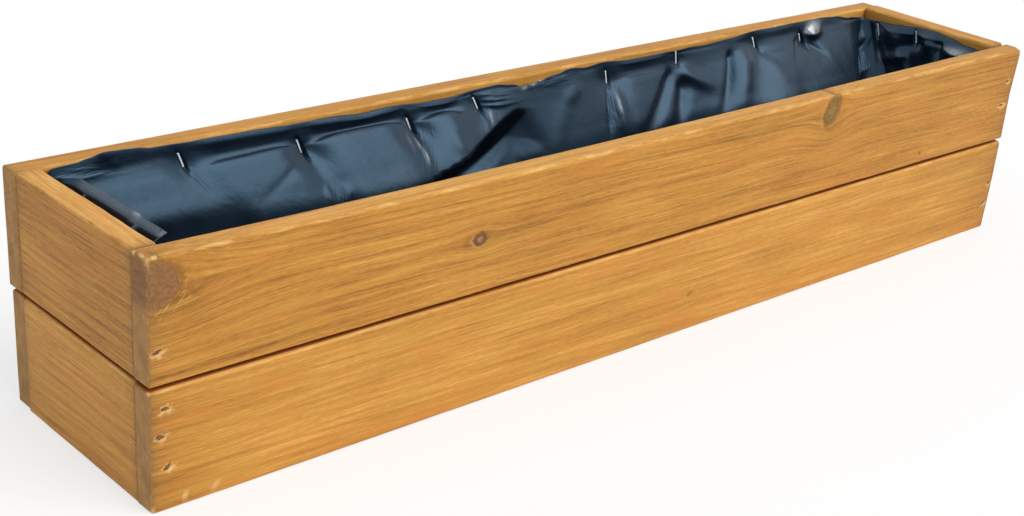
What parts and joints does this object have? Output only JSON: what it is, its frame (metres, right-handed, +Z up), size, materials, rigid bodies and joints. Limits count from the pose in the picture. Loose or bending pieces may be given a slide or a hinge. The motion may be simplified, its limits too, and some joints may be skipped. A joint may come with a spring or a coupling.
{
  "type": "planter box",
  "caption": "Long rectangular planter box of stacked stained pine boards, with a slack dark film liner stapled inside it and a slatted floor on ledgers.",
  "frame": {"origin": "on the ground, under the middle of the box", "axes": "+X along the box to the right as seen from the front, -Y out of the front wall, +Z up"},
  "size_m": [1, 0.2, 0.1945],
  "materials": {
    "stained_pine": "honey stain, satin",
    "sawn_pine": "sawn, dull",
    "liner_film": "semi-gloss film",
    "staple_wire": "zinc-bright wire",
    "nail_wire": "dull wire"
  },
  "bodies": {
    "root": {"back_ledger": "sawn_pine", "back_left_post": "sawn_pine", "back_lower_board": "stained_pine", "back_middle_batten": "sawn_pine", "back_right_post": "sawn_pine", "back_staples": "staple_wire", "back_upper_board": "stained_pine", "batten_nails": "nail_wire", "corner_nails": "nail_wire", "floor_slat_1": "sawn_pine", "floor_slat_2": "sawn_pine", "floor_slat_3": "sawn_pine", "floor_slat_4": "sawn_pine", "floor_slat_5": "sawn_pine", "floor_slat_6": "sawn_pine", "floor_slat_7": "sawn_pine", "floor_slat_8": "sawn_pine", "floor_slat_9": "sawn_pine", "front_ledger": "sawn_pine", "front_left_post": "sawn_pine", "front_lower_board": "stained_pine", "front_middle_batten": "sawn_pine", "front_right_post": "sawn_pine", "front_staples": "staple_wire", "front_upper_board": "stained_pine", "ledger_nails": "nail_wire", "left_lower_end_board": "stained_pine", "left_staples": "staple_wire", "left_upper_end_board": "stained_pine", "liner": "liner_film", "post_nails": "nail_wire", "right_lower_end_board": "stained_pine", "right_staples": "staple_wire", "right_upper_end_board": "stained_pine", "slat_nails": "nail_wire"}
  },
  "joints": []
}
